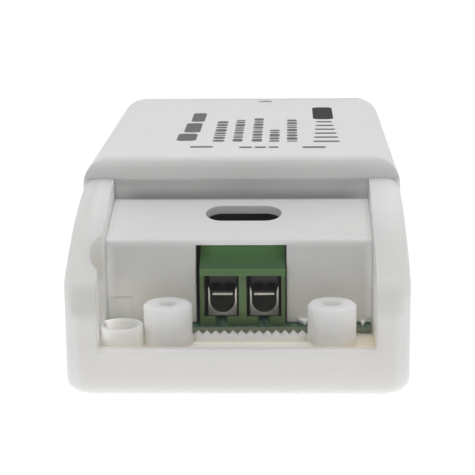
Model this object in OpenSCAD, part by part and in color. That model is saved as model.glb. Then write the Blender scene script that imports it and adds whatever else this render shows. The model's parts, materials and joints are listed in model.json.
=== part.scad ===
// In-line smart relay box, seen from its output end with that end's cover taken off.
// The origin is the middle of the underside. X runs across, Y along the box, Z up.
// The output end lies at -Y. The input end is the same layout turned half a turn about Z.

/* [Case] */
// Width across the side walls
body_w = 39.6; // [38.6:0.2:44]
// Length over the two end faces
body_l = 92.6; // [91.6:0.2:100]
// Height to the top of the deck
body_h = 23.6; // [23.2:0.2:27]
// Thickness of the side walls beside the wiring bays
bay_wall = 3.9; // [3.6:0.1:4.4]
// Thickness of the side walls beside the electronics
mid_wall = 2.8; // [2.4:0.1:3]
// Thickness of the floor under the circuit board
floor_t = 1.8; // [1.2:0.1:2]
// Height of the floor in the two wiring bays
bay_floor = 4.6; // [4.2:0.1:4.8]
// Plan radius of the four upright corners
plan_r = 3.4; // [3.1:0.1:3.8]
// Radius of the bottom edges
edge_r = 1.5; // [1:0.1:1.7]
// Radius along the top of the sloping side walls
wall_top_r = 1.8; // [1:0.1:2.2]
// Height of the side walls at the end faces
end_wall_h = 12.5; // [11.5:0.1:13]
// Radius of the long curve down which the side walls slope
slope_r = 49; // [44:0.5:60]
// Radius where that curve meets the end face
end_r = 4; // [2:0.1:4.4]
// Height of the low lip across each end
lip_h = 5.6; // [5.2:0.1:6]
// Thickness of that lip
lip_t = 1.6; // [1.2:0.1:2]
// Radius of the lip's upper edges
lip_r = 0.5; // [0.3:0.05:0.6]
// Depth of the hollows moulded into the underside of the bay floors
core_h = 2.6; // [1.5:0.1:2.8]

/* [Top cover] */
// Length of the raised deck
deck_l = 48; // [47:0.2:50]
// Height of the band round the deck
band_h = 2.7; // [2.4:0.1:3]
// Thickness of the deck plate
deck_t = 1.8; // [1.4:0.1:2.1]
// Radius of the long shoulders of the deck
shoulder_r = 3.5; // [2.8:0.1:4]
// Radius of the deck's end edges
deck_edge_r = 0.6; // [0.3:0.1:1]
// Step from the band back to the riser
riser_set = 0.6; // [0.3:0.1:1]
// Wall of the riser
riser_t = 1.2; // [0.8:0.1:1.4]
// Height of the shelf's front edge above the top of the terminal
shelf_lift = 0.62; // [0.5:0.02:0.9]
// Fall of the shelf from the riser to its front edge
shelf_fall = 2.6; // [2.2:0.1:3]
// Thickness of the shelf
shelf_t = 1; // [0.8:0.1:1.2]
// Thickness of the front wall round the terminal
front_t = 1.3; // [1:0.1:1.5]
// Gap between the front wall and the terminal on its left
cut_left = 0.46; // [0.3:0.02:0.6]
// Gap between the front wall and the terminal on its right
cut_right = 0.14; // [0.1:0.02:0.4]
// Width of the shallow step in the front wall beside the mounting tube
step_w = 3; // [2:0.1:4]
// Height of that step
step_h = 3.3; // [2:0.1:4]
// Depth of that step
step_t = 0.12; // [0.1:0.02:0.3]
// Radius of the shelf's front edge
shelf_edge_r = 0.6; // [0.3:0.1:0.7]
// Length of each wiring bay, from the end face to the front wall
bay_l = 11.6; // [11:0.1:12]
// Length of the screwdriver slot
slot_l = 9.3; // [8.8:0.1:10]
// Width of the screwdriver slot
slot_w = 4.14; // [4.1:0.02:4.4]
// How far the slot lies behind the clamp screws
slot_shift = 0.5; // [0.3:0.05:0.7]
// Thickness of the end cover's arched plate
cover_t = 1.8; // [1.4:0.1:2]
// Width of the snap hooks
hook_w = 4; // [3:0.1:5]
// Thickness of the snap hooks
hook_t = 1; // [0.8:0.05:1.1]
// Distance of the snap hooks from the middle of the box
hook_y = 12; // [10:0.2:14]

/* [Circuit board] */
// Height of the board's upper face
board_top = 5.28; // [5.2:0.02:5.6]
// Thickness of the board
board_t = 1.6; // [1.2:0.1:1.7]
// How far the board reaches past the terminal front
board_proud = 0.74; // [0.6:0.02:0.9]

/* [Terminals] */
// Distance between the two poles
pole_pitch = 5.08; // [5:0.02:5.3]
// Offset of the terminal from the middle of the box
term_shift = 0.4; // [0:0.1:0.8]
// How far the terminal stands out of the front wall
term_proud = 0.84; // [0.6:0.02:1]
// Depth of the housing from front to back
term_l = 12.3; // [12.1:0.1:12.6]
// Height of the upright front face
term_front_h = 6.86; // [6.7:0.02:7]
// Height of the whole housing
term_h = 9.7; // [9.6:0.02:9.8]
// Run of the sloping face
term_slope = 4.5; // [4:0.1:5]
// Outer wall beside each pole
term_side = 0.5; // [0.4:0.02:0.7]
// Width of the wire windows
window_w = 4.16; // [4.1:0.02:4.2]
// Height of the wire windows
window_h = 5.15; // [5:0.05:5.2]
// Height of the sill under the windows
sill_h = 0.97; // [0.8:0.01:1]
// Thickness of the front and back walls
term_wall = 0.7; // [0.6:0.05:0.9]
// Width of the notch in the sill
notch_w = 1.34; // [1:0.02:1.6]
// Distance from the housing front to the clamp screw
screw_set = 7.5; // [7.3:0.1:7.7]

/* [Clamps] */
// Width of a rising cage
cage_w = 3.5; // [3.4:0.02:3.56]
// Wall of a rising cage beside the wire
cage_wall = 0.24; // [0.2:0.01:0.28]
// Length of a rising cage
cage_l = 7.6; // [7.2:0.1:7.7]
// Thickness of the cage's bottom
cage_base = 0.38; // [0.34:0.02:0.5]
// Thickness of the threaded top of a cage
cage_top = 1.6; // [1.3:0.05:1.65]
// Length of the open front of a cage, before its threaded top
cage_lip = 2.6; // [1.8:0.1:2.7]
// Height of the cage's side walls above the contact bar
cage_tip = 0.6; // [0.35:0.05:0.7]
// Thickness of those walls at their top, where the wire guide flares out to it
cage_guide = 0.06; // [0.04:0.01:0.12]
// Height of the wire opening when the clamp stands open
mouth_h = 2.1; // [2.05:0.05:2.3]
// Travel of a cage
cage_travel = 1.4; // [1.2:0.05:1.4]
// Thickness of the fixed contact bars
bar_t = 0.55; // [0.5:0.05:0.85]
// Width of the fixed contact bars
bar_w = 2.5; // [2:0.05:2.5]
// Diameter of the clamp screws
screw_d = 2.5; // [2.2:0.05:2.6]
// Diameter of the clamp screw heads
screw_head_d = 3.5; // [3.2:0.05:3.6]
// Height of the clamp screw heads
screw_head_h = 1.4; // [1.2:0.05:1.5]
// Width of the screwdriver slot in a screw head
drive_w = 0.7; // [0.5:0.05:0.9]

/* [Posts and mounting] */
// Diameter of the cover screw posts
post_d = 5.66; // [5.2:0.02:6]
// Height of the top of the posts
post_top = 9.46; // [9:0.02:9.8]
// Distance between the two posts
post_gap = 19.1; // [18.6:0.1:19.4]
// Sideways offset of the pair of posts
post_shift = 1.38; // [1:0.02:1.6]
// Distance of the posts from the end face
post_inset = 5.9; // [5.6:0.1:6.1]
// Diameter of the pilot holes in the posts
pilot_d = 1.86; // [1.6:0.02:2]
// Distance of the mounting holes from the box's long middle line
mount_x = 13.6; // [13.2:0.1:13.8]
// Distance of the mounting holes from the end face
mount_inset = 5.5; // [5.3:0.1:5.8]
// Diameter of the mounting holes
mount_d = 4.2; // [3.6:0.1:4.4]
// Outer diameter of the mounting tubes
tube_d = 5.2; // [5:0.1:5.4]
// Height of the top of the mounting tubes
tube_top = 7; // [6.5:0.1:7.4]
// Diameter of the hollow that clears a screwdriver over a mounting hole
relief_d = 7; // [6.6:0.1:7.2]

/* [Cord grip] */
// Distance between the grip's teeth
tooth_pitch = 1.016; // [0.95:0.002:1.05]
// Number of teeth
tooth_count = 13; // [11:1:13]
// Height of a tooth
tooth_h = 0.45; // [0.3:0.01:0.6]
// Height of the tooth tips
grip_top = 5.74; // [5.6:0.01:6.2]
// Thickness of the grip bar
grip_t = 1.2; // [1:0.05:1.6]
// Distance of the grip from the end face
grip_inset = 6.8; // [6.5:0.1:7]
// Width of the cord opening in an end cover
cord_w = 9; // [7:0.1:9.6]
// Height of the cord opening above the lip
cord_h = 5; // [4.4:0.1:6]

/* [Button] */
// Diameter of the push button
button_d = 2; // [1.9:0.1:2.6]
// Sideways place of the button
button_x = 2.4; // [1.6:0.1:3]
// Distance of the button from the end of the deck
button_inset = 2.5; // [2.2:0.05:3]
// Depth of the button's face below the deck
button_sink = 0.25; // [0.1:0.05:0.4]
// Travel of the button
button_travel = 0.3; // [0.2:0.02:0.4]
// Height of the switch's base
switch_h = 3.5; // [3:0.1:4]

/* [Relay] */
// Length of the relay
relay_l = 19; // [18.4:0.1:19.4]
// Width of the relay
relay_w = 15.4; // [14.6:0.1:15.6]
// Space between the relay and the deck
relay_head = 1.32; // [0.9:0.02:1.6]
// Space between the relay and what stands before it
relay_gap = 1.16; // [0.8:0.02:1.4]
// Diameter of the relay coil
coil_d = 8.6; // [8:0.1:9]
// Swing of the relay's armature in degrees
armature_swing = 4; // [3:0.1:4]

/* [Power supply] */
// Length of the transformer core
core_l = 12.4; // [11:0.1:13]
// Depth of the transformer core
core_depth = 5; // [4:0.1:5.6]
// Width of the core's legs
core_leg = 2; // [1.6:0.1:2.4]
// Thickness of the winding in front of and behind the core
wrap_t = 2.4; // [2:0.1:2.8]
// Height of the transformer
transformer_h = 11.5; // [10:0.1:12.5]
// Diameter of the mains capacitor
main_cap_d = 8; // [7:0.1:8.4]
// Height of the mains capacitor
main_cap_h = 12; // [10:0.1:14]
// Diameter of the output capacitor
out_cap_d = 6.3; // [5:0.1:6.4]
// Height of the output capacitor
out_cap_h = 11; // [9:0.1:12]
// Diameter of the surge disc
varistor_d = 8; // [7:0.1:8.4]
// Length of the fuse resistor's body
fuse_l = 8; // [7:0.1:8.4]
// Diameter of the choke
choke_d = 4.4; // [4:0.1:5]
// Height of the choke
choke_h = 6.5; // [5:0.1:7.5]

/* [Radio] */
// Width of the radio board, which stands on its long edge
radio_w = 13; // [12:0.1:13.4]
// Length of the radio board
radio_l = 18; // [17:0.1:18.4]
// Height of the radio's shield
shield_h = 2.2; // [1.6:0.1:2.6]

/* [Hidden] */
$fn = 48;
// Play between fixed pieces that fit together
fit = 0.2;
// Running clearance of round sliding pieces
run = 0.05;
// Clearance between a moving clamp and its housing
clamp_gap = 0.3;
// Gap between the top cover and the side walls
seam = 0.01;
// Overrun that makes a cut leave its solid
over = 1;
// Side of a block that takes away everything past a plane
far = 200;

bay_half = body_w / 2 - bay_wall;
mid_half = body_w / 2 - mid_wall;
end_y = -body_l / 2;
deck_end = -deck_l / 2;
wall_top = body_h - band_h;
deck_under = body_h - deck_t;
shoulder_z = body_h - shoulder_r;
front_y = end_y + bay_l;
riser_y = deck_end + riser_set;
riser_in = riser_y + riser_t;
cover_half = bay_half - seam;

term_y = front_y - term_proud;
term_back = term_y + term_l;
term_w = pole_pitch + window_w + 2 * term_side;
term_top = board_top + term_h;
shelf_front = term_top + shelf_lift;
shelf_back = shelf_front + shelf_fall;
shelf_slope = shelf_fall / (riser_y - front_y);
window_bottom = board_top + sill_h;
window_top = window_bottom + window_h;
screw_y = term_y + screw_set;
board_end = term_y - board_proud;
board_half = bay_half - fit;
board_under = board_top - board_t;
pole_x = [term_shift - pole_pitch / 2, term_shift + pole_pitch / 2];

cage_bottom = board_top + clamp_gap;
mouth_bottom = cage_bottom + cage_base;
bar_under = mouth_bottom + mouth_h;
bar_over = bar_under + bar_t;
cage_top_under = bar_over + clamp_gap;
cage_top_z = cage_top_under + cage_top;
chamber_top = cage_top_z + cage_travel + run;
back_wall = 1.26;
cage_back = term_back - back_wall - clamp_gap;
cage_front = cage_back - cage_l;
chamber_back = cage_back + clamp_gap;
head_under = chamber_top;
pin_t = 0.8;
pin_w = 1.2;
pin_y = chamber_back + pin_t / 2 + run;
pin_below = 1.2;
pin_end = board_under - pin_below;
pin_hole_r = sqrt(pin_t * pin_t + pin_w * pin_w) / 2 + run;

post_y = end_y + post_inset;
post_x = [post_shift - post_gap / 2, post_shift + post_gap / 2];
mount_y = end_y + mount_inset;
grip_y = end_y + grip_inset;
grip_x = (post_x[0] + post_x[1]) / 2;
pilot_sink = 0.6;
pilot_bottom = bay_floor - pilot_sink;
slot_y = screw_y + slot_shift;

// Centre of the arc of a given radius through two points, on its lower side
function arc_centre(p, q, r) =
    let (d = norm(q - p), u = (q - p) / d, h = sqrt(r * r - d * d / 4))
    (p + q) / 2 + h * [-u[1], u[0]];

// Centre of the small round that joins the long curve to the end face
function corner_centre(r, f) =
    let (y = end_y + f)
    [y, slope_c[1] + sqrt(pow(r - f, 2) - pow(y - slope_c[0], 2))];

slope_c = arc_centre([deck_end, wall_top], [end_y, end_wall_h], slope_r);

// Turns a shape drawn for the output end, 0, to the input end, 1
module at_end(i) rotate([0, 0, 180 * i]) children();

// Extrudes a shape drawn in Y and Z along X, about the middle
module along_x(w) rotate([90, 0, 90]) linear_extrude(w, center = true) children();

// Extrudes a shape drawn in X and Z along Y, about the middle
module along_y(l) rotate([90, 0, 0]) linear_extrude(l, center = true) children();

// A block between two corners
module block(low, high) translate(low) cube(high - low);

// A rectangle with round corners
module round_rect(w, l, r) {
    square([w - 2 * r, l], center = true);
    square([w, l - 2 * r], center = true);
    for (x = [-1, 1], y = [-1, 1]) translate([x * (w / 2 - r), y * (l / 2 - r)]) circle(r);
}

// A slot with round ends
module stadium(l, w) {
    square([l - w, w], center = true);
    for (x = [-1, 1]) translate([x * (l - w) / 2, 0]) circle(d = w);
}

// Cross-section of the whole box, with round bottom edges and deck shoulders
module box_section() {
    translate([0, (edge_r + body_h - shoulder_r) / 2])
        square([body_w, body_h - edge_r - shoulder_r], center = true);
    translate([0, body_h / 2]) square([body_w - 2 * shoulder_r, body_h], center = true);
    translate([0, edge_r]) square([body_w - 2 * edge_r, 2 * edge_r], center = true);
    for (x = [-1, 1]) {
        translate([x * (body_w / 2 - edge_r), edge_r]) circle(edge_r);
        translate([x * (body_w / 2 - shoulder_r), body_h - shoulder_r]) circle(shoulder_r);
    }
}

// Length-wise section of the box below the shoulders, with round bottom edges at both ends
module side_section() {
    translate([0, (edge_r + shoulder_z) / 2]) square([body_l, shoulder_z - edge_r], center = true);
    translate([0, edge_r]) square([body_l - 2 * edge_r, 2 * edge_r], center = true);
    for (y = [-1, 1]) translate([y * (body_l / 2 - edge_r), edge_r]) circle(edge_r);
}

// Half section of an upright corner, from its axis outwards, with a round bottom edge
module corner_section() {
    translate([0, edge_r]) square([plan_r, shoulder_z - edge_r]);
    square([plan_r - edge_r, 2 * edge_r]);
    intersection() {
        translate([plan_r - edge_r, edge_r]) circle(edge_r);
        square([plan_r, shoulder_z]);
    }
}

// The box as one block before it is divided
module box_block() {
    along_y(body_l - 2 * plan_r) box_section();
    along_x(body_w - 2 * plan_r) side_section();
    for (x = [-1, 1], y = [-1, 1]) translate([x * (body_w / 2 - plan_r), y * (body_l / 2 - plan_r), 0])
        rotate_extrude() corner_section();
}

// A wheel about the axis of the end slope, with round rims
module slope_wheel(r, w, rim) {
    translate([0, slope_c[0], slope_c[1]]) rotate([0, 90, 0]) rotate_extrude($fn = 128) {
        translate([0, -w / 2 + rim]) square([r, w - 2 * rim]);
        translate([0, -w / 2]) square([r - rim, w]);
        for (y = [-1, 1]) translate([r - rim, y * (w / 2 - rim)]) circle(rim, $fn = 48);
    }
}

// What the round between the slope of radius r and the end face takes off
module end_corner(r, f) {
    c = corner_centre(r, f);
    out = (c - slope_c) / norm(c - slope_c);
    along_x(body_w + over) difference() {
        polygon([c, c + [-far, 0], c + [-far, far], c + far * out]);
        translate(c) circle(f);
    }
}

// The end half of a wheel, from the deck to the end face
module end_slope(r, rim, f) difference() {
    intersection() {
        slope_wheel(r, body_w, rim);
        block([-far, -far, 0], [far, deck_end, far]);
    }
    end_corner(r, f);
}

// Outside of the bottom case
module case_block() intersection() {
    box_block();
    union() {
        block([-far, deck_end, 0], [far, -deck_end, wall_top]);
        for (i = [0, 1]) at_end(i) end_slope(slope_r, wall_top_r, end_r);
    }
}

// The toothed bar that the cord lies on, drawn for the output end
module cord_grip() {
    w = tooth_count * tooth_pitch;
    translate([grip_x, grip_y, 0]) along_y(grip_t) {
        translate([-w / 2, bay_floor - over / 2])
            square([w, grip_top - tooth_h - bay_floor + over / 2]);
        for (k = [0 : tooth_count - 1]) translate([(k - tooth_count / 2) * tooth_pitch, grip_top - tooth_h])
            polygon([[0, -over / 4], [0, 0], [tooth_pitch / 2, tooth_h], [tooth_pitch, 0],
                [tooth_pitch, -over / 4]]);
    }
}

// A cover screw post with a flat that clears the cord, drawn for the output end
module cover_post(x, flat) {
    flat_turn = 25;
    flat_lean = 5;
    chamfer = 0.3;
    difference() {
        translate([x, post_y, 0]) union() {
            translate([0, 0, bay_floor - over / 2])
                cylinder(d = post_d, h = post_top - chamfer - bay_floor + over / 2);
            translate([0, 0, post_top - chamfer])
                cylinder(d1 = post_d, d2 = post_d - 2 * chamfer, h = chamfer);
        }
        if (flat) translate([x, post_y, post_top]) rotate([0, 0, flat_turn]) translate([-post_d / 2, 0, 0])
            rotate([0, -flat_lean, 0]) block([-post_d, -post_d, -far], [0, post_d, 0]);
    }
}

// The round top of the lip across one end
module lip_top() along_x(2 * bay_half + over / 2) {
    low = lip_h - lip_r;
    translate([end_y, low - over / 2]) square([lip_t, over / 2]);
    translate([end_y + lip_r, low - over / 2]) square([lip_t - 2 * lip_r, lip_r + over / 2]);
    for (y = [end_y + lip_r, end_y + lip_t - lip_r]) translate([y, low]) circle(lip_r);
}

// Solid features of one wiring bay
module bay_features() {
    lip_top();
    cover_post(post_x[0], false);
    cover_post(post_x[1], true);
    cord_grip();
    translate([-mount_x, mount_y, bay_floor - over / 2])
        cylinder(d = tube_d, h = tube_top - bay_floor + over / 2);
}

// Hollows of one wiring bay below its floor, and its holes
module bay_cuts() {
    rib = 1.2;
    core_in = 3;
    core_x0 = -mount_x + tube_d / 2 + rib;
    core_x1 = bay_half - core_in / 2;
    core_y0 = end_y + core_in;
    core_y1 = board_end - core_in / 2;
    cells = 3;
    cell_w = (core_x1 - core_x0 - (cells - 1) * rib) / cells;
    for (k = [0 : cells - 1]) translate([core_x0 + k * (cell_w + rib), 0, 0])
        block([0, core_y0, -over], [cell_w, core_y1, core_h]);
    for (x = post_x) translate([x, post_y, pilot_bottom]) cylinder(d = pilot_d, h = far);
    translate([-mount_x, mount_y, -over]) cylinder(d = mount_d, h = far);
}

// Space over one mounting hole for a screwdriver
module mount_relief()
    translate([-mount_x, mount_y, bay_floor]) cylinder(d = relief_d, h = far);

// Places of the four snap hooks
module at_hooks() for (x = [0, 1], y = [-1, 1]) mirror([x, 0, 0]) translate([0, y * hook_y, 0]) children();

hook_out = mid_half - fit;
hook_l = 7;
hook_low = wall_top - hook_l;
barb_h = 1.6;
barb_out = 0.7;

module bottom_case() color("whitesmoke") {
    rail_w = 1.6;
    pocket_end = board_end - fit;
    difference() {
        union() {
            difference() {
                case_block();
                block([-mid_half, riser_in, floor_t], [mid_half, -riser_in, far]);
                block([-bay_half, end_y + lip_t, bay_floor], [bay_half, -end_y - lip_t, far]);
                block([-bay_half, pocket_end, floor_t], [bay_half, -pocket_end, far]);
                block([-bay_half, -far, lip_h - lip_r], [bay_half, far, far]);
                for (i = [0, 1]) at_end(i) mount_relief();
                at_hooks() block([hook_out - over, -hook_w / 2 - fit, hook_low - fit],
                    [mid_half + barb_out, hook_w / 2 + fit, hook_low + barb_h + fit]);
            }
            for (x = [0, 1]) mirror([x, 0, 0])
                block([board_half - rail_w, front_y + front_t + fit - over, floor_t - over / 2],
                    [mid_half + over / 2, -front_y - front_t - fit + over, board_under]);
            for (i = [0, 1]) at_end(i) bay_features();
        }
        for (i = [0, 1]) at_end(i) bay_cuts();
    }
}

// Section of the riser, shelf and front wall of one end, drawn in Y and Z
module shelf_section() {
    lean = sqrt(1 + shelf_slope * shelf_slope);
    r = shelf_edge_r;
    cy = front_y + r;
    top_line = function (y) shelf_back + shelf_slope * (y - riser_y);
    cz = top_line(cy) - r * lean;
    foot = board_top + fit / 2;
    inner = function (y) top_line(y) - shelf_t * lean;
    polygon([
        [riser_y, deck_under + over / 2], [riser_y, shelf_back],
        [cy - r * shelf_slope / lean, cz + r / lean], [cy, cz], [front_y, cz],
        [front_y, foot], [front_y + front_t, foot], [front_y + front_t, inner(front_y + front_t)],
        [riser_in, inner(riser_in)], [riser_in, deck_under + over / 2]
    ]);
    translate([cy, cz]) circle(r);
}

// One end of the top cover below the deck
module cover_end() {
    cut_low = term_shift - term_w / 2 - cut_left;
    cut_high = term_shift + term_w / 2 + cut_right;
    step_top = board_top + step_h;
    foot_gap = 1.3;
    foot_w = 1.3;
    foot_tip = 0.98;
    foot_l = 1.4;
    foot_h = 0.5;
    difference() {
        along_x(2 * cover_half) shelf_section();
        block([cut_low, -far, 0], [cut_high, front_y + front_t + over, term_top]);
        block([-far, -far, 0], [-cover_half + step_w, front_y + step_t, step_top]);
    }
    translate([cut_high + foot_gap, front_y, board_top + fit / 2]) linear_extrude(foot_h)
        polygon([[0, over / 2], [0, 0], [foot_tip, -foot_l], [foot_w, 0], [foot_w, over / 2]]);
}

// The slot through which a screwdriver reaches the clamp screws of one end
module driver_slot()
    translate([term_shift, slot_y, board_top]) linear_extrude(far) stadium(slot_l, slot_w);

button_hole_d = button_d + 4 * run;
guide_wall = 1;
guide_d = button_d + 2 * guide_wall;
guide_h = 1.6;
guide_low = deck_under - guide_h;
switch_w = 6;
switch_l = 3.2;
switch_gap = 0.14;
button_y = min(-deck_end - button_inset, -term_back - switch_gap - switch_l / 2);

module top_cover() color("white") {
    difference() {
        union() {
            difference() {
                intersection() {
                    box_block();
                    block([-far, deck_end, wall_top], [far, -deck_end, far]);
                    along_x(body_w + over) {
                        translate([0, body_h / 2]) square([deck_l - 2 * deck_edge_r, body_h], center = true);
                        translate([0, (body_h - deck_edge_r) / 2])
                            square([deck_l, body_h - deck_edge_r], center = true);
                        for (y = [-1, 1]) translate([y * (deck_l / 2 - deck_edge_r), body_h - deck_edge_r])
                            circle(deck_edge_r);
                    }
                }
                block([-mid_half + fit, riser_in, 0], [mid_half - fit, -riser_in, deck_under]);
            }
            for (i = [0, 1]) at_end(i) cover_end();
            at_hooks() {
                block([hook_out - hook_t, -hook_w / 2, hook_low],
                    [hook_out, hook_w / 2, deck_under + over / 2]);
                translate([hook_out, 0, hook_low]) rotate([90, 0, 0]) linear_extrude(hook_w, center = true)
                    polygon([[-hook_t / 2, 0], [0, 0], [barb_out, barb_h], [-hook_t / 2, barb_h]]);
            }
            translate([button_x, button_y, guide_low])
                cylinder(d = guide_d, h = deck_under - guide_low + over / 2);
        }
        translate([button_x, button_y, 0]) cylinder(d = button_hole_d, h = far);
        for (i = [0, 1]) at_end(i) driver_slot();
    }
}

// Screw places under the end cover
seat_h = 2.2;
screw_seat = post_top + seat_h;
cover_gap = 0.05;

module input_end_cover() color("white") at_end(1) {
    tube_wall = 0.4;
    tube_r = post_d / 2 + tube_wall;
    pocket_r = 2.4;
    hole_r = 1.25;
    plate_half = bay_half - fit;
    end_t = 1.4;
    outer_r = slope_r + band_h;
    difference() {
        union() {
            intersection() {
                box_block();
                difference() {
                    slope_wheel(outer_r, body_w, shoulder_r);
                    slope_wheel(slope_r + cover_gap, body_w + over, wall_top_r);
                    slope_wheel(outer_r - cover_t, 2 * plate_half - 2 * end_t, over / 2);
                }
                block([-far, -far, end_wall_h + cover_gap], [far, deck_end - cover_gap, far]);
            }
            intersection() {
                box_block();
                slope_wheel(outer_r - over / 2, body_w, over / 2);
                union() {
                    block([-plate_half, end_y, lip_h + cover_gap], [plate_half, end_y + end_t, far]);
                    for (x = post_x) translate([x, post_y, post_top + cover_gap])
                        cylinder(r = tube_r, h = far);
                }
            }
        }
        end_corner(outer_r, shoulder_r);
        for (x = post_x) {
            translate([x, post_y, screw_seat]) cylinder(r = pocket_r, h = far);
            translate([x, post_y, 0]) cylinder(r = hole_r, h = far);
        }
        block([grip_x - cord_w / 2, -far, 0], [grip_x + cord_w / 2, end_y + end_t + over, lip_h + cord_h]);
    }
}

module cover_screws() color("silver") at_end(1) for (x = post_x) translate([x, post_y, 0]) {
    shank_gap = 0.8;
    shank_low = pilot_bottom + shank_gap;
    head_r = 2;
    head_h = 1.5;
    drive_half = 1.2;
    difference() {
        union() {
            translate([0, 0, shank_low])
                cylinder(d = pilot_d - 2 * run, h = screw_seat - shank_low + over / 2);
            translate([0, 0, screw_seat]) cylinder(r = head_r, h = head_h);
        }
        for (a = [0, 90]) rotate([0, 0, a])
            block([-drive_half, -drive_w / 2, screw_seat + head_h / 2], [drive_half, drive_w / 2, far]);
    }
}

// Places of the relay, in the box
relay_margin = 1.4;
relay_h = deck_under - relay_head - board_top;
relay_x = -board_half + relay_margin + relay_w / 2;
relay_y = max(term_back, riser_in) + relay_gap + relay_l / 2;

module circuit_board() color("darkgreen") {
    notch_r = tube_d / 2 + fit;
    difference() {
        block([-board_half, board_end, board_under], [board_half, -board_end, board_top]);
        for (i = [0, 1]) at_end(i) {
            translate([-mount_x, mount_y, 0]) cylinder(r = notch_r, h = far);
            for (x = pole_x) translate([x, pin_y, 0]) cylinder(r = pin_hole_r, h = far);
        }
    }
}

// Housing of a two-pole terminal, drawn for the output end
module terminal_housing() {
    well_play = 0.1;
    pin_play = 0.1;
    difference() {
        translate([term_shift, 0, 0]) along_x(term_w) polygon([
            [term_y, board_top], [term_y, board_top + term_front_h], [term_y + term_slope, term_top],
            [term_back, term_top], [term_back, board_top]
        ]);
        for (x = pole_x) translate([x, 0, 0]) {
            block([-window_w / 2, cage_front - clamp_gap, 0], [window_w / 2, chamber_back, chamber_top]);
            block([-window_w / 2, term_y + term_wall, 0], [window_w / 2, chamber_back, window_top]);
            block([-window_w / 2, term_y - over, window_bottom], [window_w / 2, chamber_back, window_top]);
            block([-notch_w / 2, term_y - over, 0],
                [notch_w / 2, term_y + term_wall + over, window_bottom + over]);
            translate([0, screw_y, chamber_top - over]) cylinder(d = window_w - well_play, h = far);
            block([-pin_w / 2 - pin_play, chamber_back - over, 0],
                [pin_w / 2 + pin_play, pin_y + pin_t / 2 + run, bar_over + pin_play]);
        }
    }
}

// The two fixed contacts of a terminal with their solder pins, drawn for the output end
module terminal_contacts() {
    for (x = pole_x) translate([x, 0, 0]) {
        block([-bar_w / 2, cage_front + clamp_gap, bar_under], [bar_w / 2, chamber_back - run, bar_over]);
        block([-pin_w / 2, chamber_back - over, bar_under], [pin_w / 2, pin_y + pin_t / 2, bar_over]);
        block([-pin_w / 2, pin_y - pin_t / 2, pin_end], [pin_w / 2, pin_y + pin_t / 2, bar_over]);
    }
}

// One rising cage in its open place, drawn for the output end; pole 0 is left and 1 is right
module cage(pole) {
    mouth_w = cage_w - 2 * cage_wall;
    mouth_r = mouth_w / 2;
    tip_z = bar_over + cage_tip;
    guide = cage_w / 2 - cage_guide;
    difference() {
        translate([pole_x[pole], (cage_front + cage_back) / 2, 0]) along_y(cage_l) difference() {
            translate([-cage_w / 2, cage_bottom]) square([cage_w, cage_top_z - cage_bottom]);
            translate([-mouth_w / 2, mouth_bottom + mouth_r])
                square([mouth_w, cage_top_under - mouth_bottom - mouth_r]);
            translate([0, mouth_bottom + mouth_r]) circle(mouth_r);
        }
        translate([pole_x[pole], screw_y, cage_top_under - over / 2])
            cylinder(d = screw_d + 2 * run, h = far);
        block([-far, -far, tip_z], [far, cage_front + cage_lip, far]);
        translate([pole_x[pole], cage_front + (cage_lip - over) / 2, 0]) along_y(cage_lip + over) polygon([
            [-mouth_r, bar_over], [mouth_r, bar_over], [guide, tip_z], [guide, tip_z + over],
            [-guide, tip_z + over], [-guide, tip_z]
        ]);
    }
}

// One clamp screw, drawn for the output end
module clamp_screw(pole) translate([pole_x[pole], screw_y, 0]) {
    tip = bar_over + run;
    difference() {
        union() {
            translate([0, 0, tip]) cylinder(d = screw_d, h = head_under + run - tip + over / 4);
            translate([0, 0, head_under + run]) cylinder(d = screw_head_d, h = screw_head_h);
        }
        for (a = [0, 90]) rotate([0, 0, a])
            translate([-screw_d / 2, -drive_w / 2, head_under + run + screw_head_h / 2])
                cube([screw_d, drive_w, screw_head_h]);
    }
}

module output_terminal_housing() color("seagreen") at_end(0) terminal_housing();
module input_terminal_housing() color("seagreen") at_end(1) terminal_housing();
module output_contacts() color("silver") at_end(0) terminal_contacts();
module input_contacts() color("silver") at_end(1) terminal_contacts();
module output_cage_left() color("gainsboro") at_end(0) cage(0);
module output_cage_right() color("gainsboro") at_end(0) cage(1);
module input_cage_left() color("gainsboro") at_end(1) cage(0);
module input_cage_right() color("gainsboro") at_end(1) cage(1);
module output_screw_left() color("silver") at_end(0) clamp_screw(0);
module output_screw_right() color("silver") at_end(0) clamp_screw(1);
module input_screw_left() color("silver") at_end(1) clamp_screw(0);
module input_screw_right() color("silver") at_end(1) clamp_screw(1);

// Relay, drawn about the middle of its own footprint
relay_base_h = 1;
relay_shell = 0.8;
yoke_t = 1.2;
yoke_half = 4.5;
yoke_gap = 1;
yoke_back = -relay_l / 2 + relay_shell + yoke_gap;
coil_gap = 0.6;
coil_y = yoke_back + yoke_t + coil_d / 2 + coil_gap;
yoke_low = board_top + relay_base_h;
bobbin_low = yoke_low + yoke_t;
flange_t = 0.6;
armature_gap = 0.65;
armature_t = 1;
armature_half = 4.2;
blade_t = 0.3;
blade_half = 2;
blade_room = 1.05;
armature_low = board_top + relay_h - relay_shell - blade_room - blade_t - armature_t;
pole_face = armature_low - armature_gap;
pole_face_r = 2.2;
pole_face_t = 0.6;
bobbin_h = pole_face - pole_face_t - bobbin_low;
core_r = 1.5;
bobbin_wall = 0.5;
coil_sink = 0.3;
hinge_gap = 0.1;
rivet_r = 1.2;
rivet_h = 0.7;
contact_set = 2.2;
contact_y = relay_l / 2 - relay_shell - contact_set;
hinge_y = yoke_back + yoke_t / 2;
contact_reach = contact_y - hinge_y;
contact_low = armature_low + armature_t - rivet_h;
fixed_top = contact_low - (contact_reach + rivet_r) * tan(armature_swing) - hinge_gap;

module at_relay() translate([relay_x, relay_y, 0]) children();

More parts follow.
